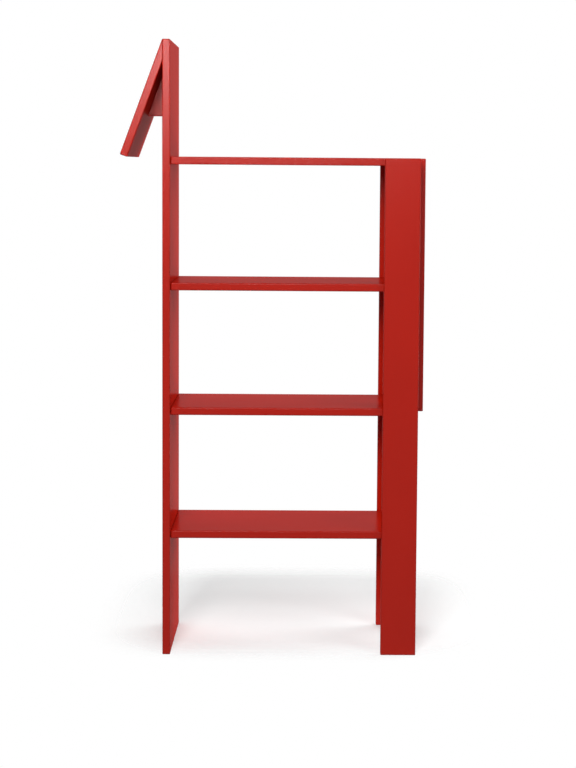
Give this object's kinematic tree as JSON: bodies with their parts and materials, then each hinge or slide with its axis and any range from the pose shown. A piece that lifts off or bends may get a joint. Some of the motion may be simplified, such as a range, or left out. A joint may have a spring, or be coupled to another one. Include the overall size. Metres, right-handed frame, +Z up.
{
  "type": "bookcase",
  "caption": "Tall open bookcase in the outline of a long-necked animal: upright neck panel with a slanted head board, open shelves, flat legs and a tail strip, in lacquered board.",
  "frame": {"origin": "on the floor, at the centre of the bookcase's own box", "axes": "+X from the head towards the tail, +Y from the pictured front towards the back, +Z up"},
  "size_m": [0.594, 0.24, 1.2],
  "materials": {
    "lacquer": "satin red lacquer on fibreboard",
    "zinc": "cast zinc and zinc-plated steel",
    "beech": "plain turned beech"
  },
  "bodies": {
    "root": {"neck_panel": "lacquer", "head_board": "lacquer", "head_brace": "lacquer", "top_shelf": "lacquer", "upper_shelf": "lacquer", "middle_shelf": "lacquer", "bottom_shelf": "lacquer", "front_leg": "lacquer", "rear_leg": "lacquer", "tail_board": "lacquer", "neck_cam_discs": "zinc", "neck_cam_bolts": "zinc", "neck_dowels": "beech", "front_leg_cam_discs": "zinc", "front_leg_cam_bolts": "zinc", "front_leg_dowels": "beech", "rear_leg_cam_discs": "zinc", "rear_leg_cam_bolts": "zinc", "rear_leg_dowels": "beech", "tail_cam_discs": "zinc", "tail_cam_bolts": "zinc", "tail_dowels": "beech", "head_pegs": "beech", "brace_neck_pegs": "beech", "brace_head_pegs": "beech"}
  },
  "joints": []
}
